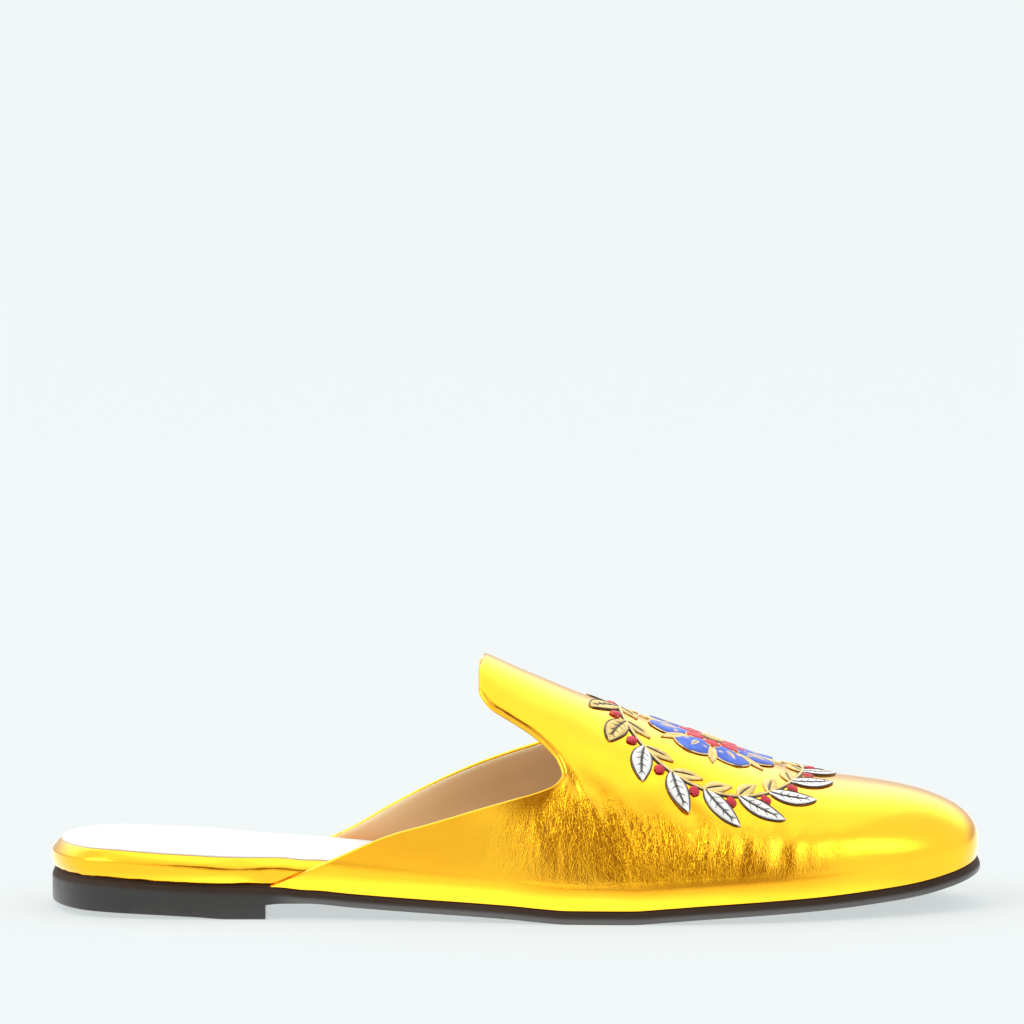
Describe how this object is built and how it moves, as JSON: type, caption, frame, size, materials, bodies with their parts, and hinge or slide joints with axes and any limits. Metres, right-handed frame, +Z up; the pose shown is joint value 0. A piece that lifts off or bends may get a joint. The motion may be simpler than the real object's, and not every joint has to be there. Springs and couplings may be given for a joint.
{
  "type": "slipper",
  "caption": "Flat backless slipper with a closed round toe, a high tongue between two deep notches, low quarters, a padded footbed, a thin outsole and a low heel.",
  "frame": {"origin": "on the ground, under the middle of the slipper's bounding box", "axes": "+X towards the toe, +Y towards the medial side (the inner edge of the right foot), +Z up; the slipper stands on z = 0"},
  "size_m": [0.2582, 0.0838, 0.0698],
  "materials": {
    "gold_leather": "metallic foil, glossy, lightly creased",
    "gold_wrap": "metallic foil, glossy",
    "sole_rubber": "satin",
    "heel_rubber": "matt",
    "lining_leather": "smooth, tan",
    "sock_leather": "smooth, off-white",
    "embroidery": "satin stitch in several colours"
  },
  "bodies": {
    "root": {"upper": "gold_leather", "insole": "gold_wrap", "outsole": "sole_rubber", "heel": "heel_rubber"}
  },
  "joints": []
}
